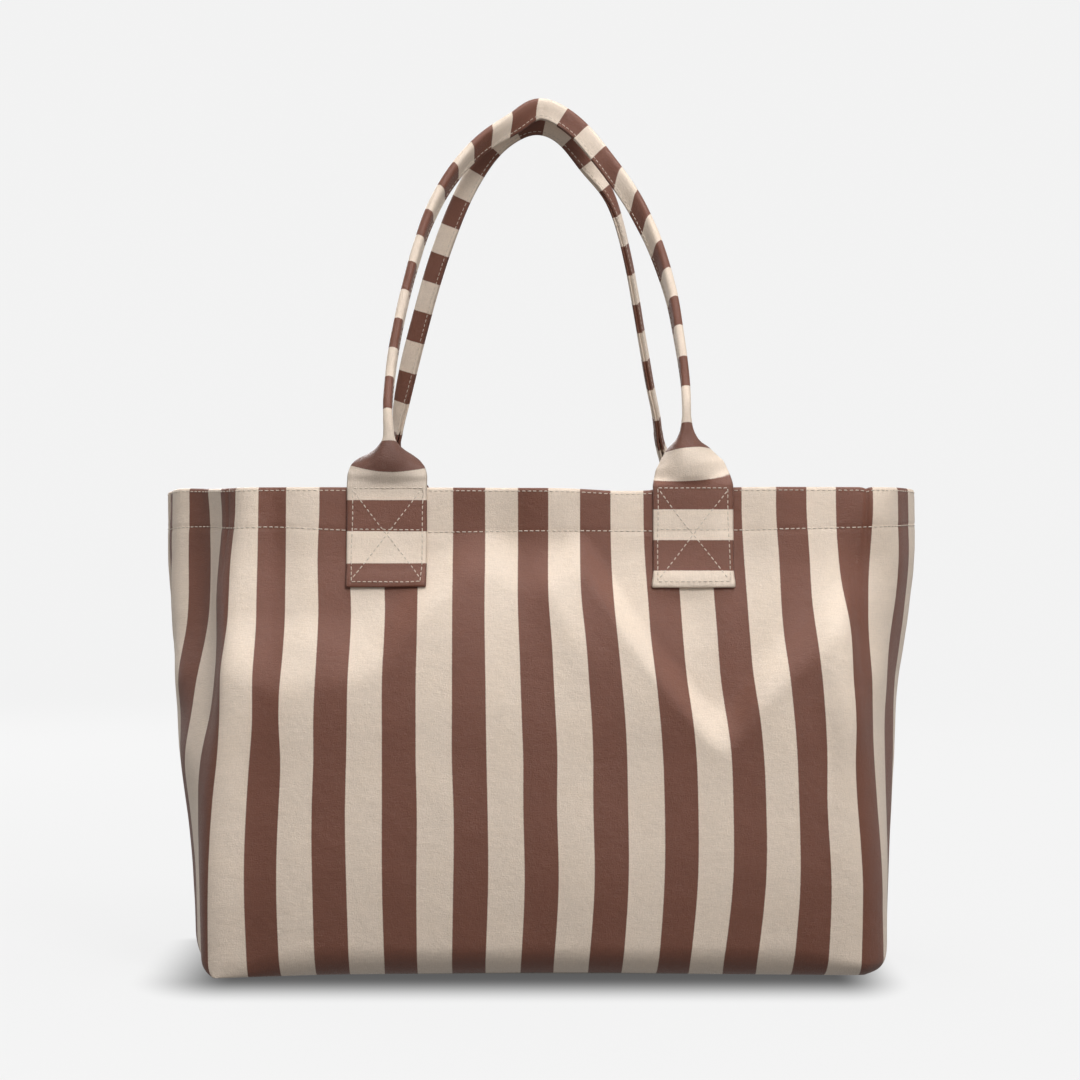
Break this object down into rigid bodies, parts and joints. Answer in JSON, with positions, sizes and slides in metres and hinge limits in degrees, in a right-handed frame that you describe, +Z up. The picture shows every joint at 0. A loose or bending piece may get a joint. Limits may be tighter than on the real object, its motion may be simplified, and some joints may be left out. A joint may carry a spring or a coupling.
{
  "type": "weekender bag",
  "caption": "Open-top striped canvas weekender tote with a boxed base, turned and stitched hem, lining, base board and swinging shoulder handles on box-stitched strap ends.",
  "frame": {"origin": "centre of the base, on the surface the bag stands on", "axes": "+X along the width, to the right seen from the front; -Y out of the front face; +Z up"},
  "size_m": [0.5694, 0.202, 0.6427],
  "materials": {
    "striped_canvas": "satin-faced cotton canvas, 25 mm cream and brown woven stripes",
    "lining_cotton": "plain undyed cotton, matte",
    "thread": "cream polyester sewing thread",
    "base_board": "thin stiff sheet, matte",
    "nonwoven": "white nonwoven interlining",
    "label_tape": "blank woven satin tape"
  },
  "bodies": {
    "bag": {"outer_front_panel": "striped_canvas", "outer_back_panel": "striped_canvas", "lining_front_panel": "lining_cotton", "lining_back_panel": "lining_cotton", "base_board": "base_board", "rim_stitch_row": "thread", "hem_stitch_row": "thread", "inner_pocket": "lining_cotton", "care_label": "label_tape", "front_left_strap_end": "striped_canvas", "front_left_box_stitching": "thread", "front_left_reinforcement": "nonwoven", "front_right_strap_end": "striped_canvas", "front_right_box_stitching": "thread", "front_right_reinforcement": "nonwoven", "back_left_strap_end": "striped_canvas", "back_left_box_stitching": "thread", "back_left_reinforcement": "nonwoven", "back_right_strap_end": "striped_canvas", "back_right_box_stitching": "thread", "back_right_reinforcement": "nonwoven"},
    "front_handle": {"front_handle_strap": "striped_canvas", "front_handle_edge_stitching": "thread"},
    "back_handle": {"back_handle_strap": "striped_canvas", "back_handle_edge_stitching": "thread"}
  },
  "joints": [
    {"name": "front_handle_swing", "type": "hinge", "parent": "bag", "child": "front_handle", "pos_m": [0, -0.084, 0.356], "axis": [1, 0, 0], "range_deg": [0, 186]},
    {"name": "back_handle_swing", "type": "hinge", "parent": "bag", "child": "back_handle", "pos_m": [0, 0.084, 0.356], "axis": [-1, 0, 0], "range_deg": [0, 186]}
  ]
}
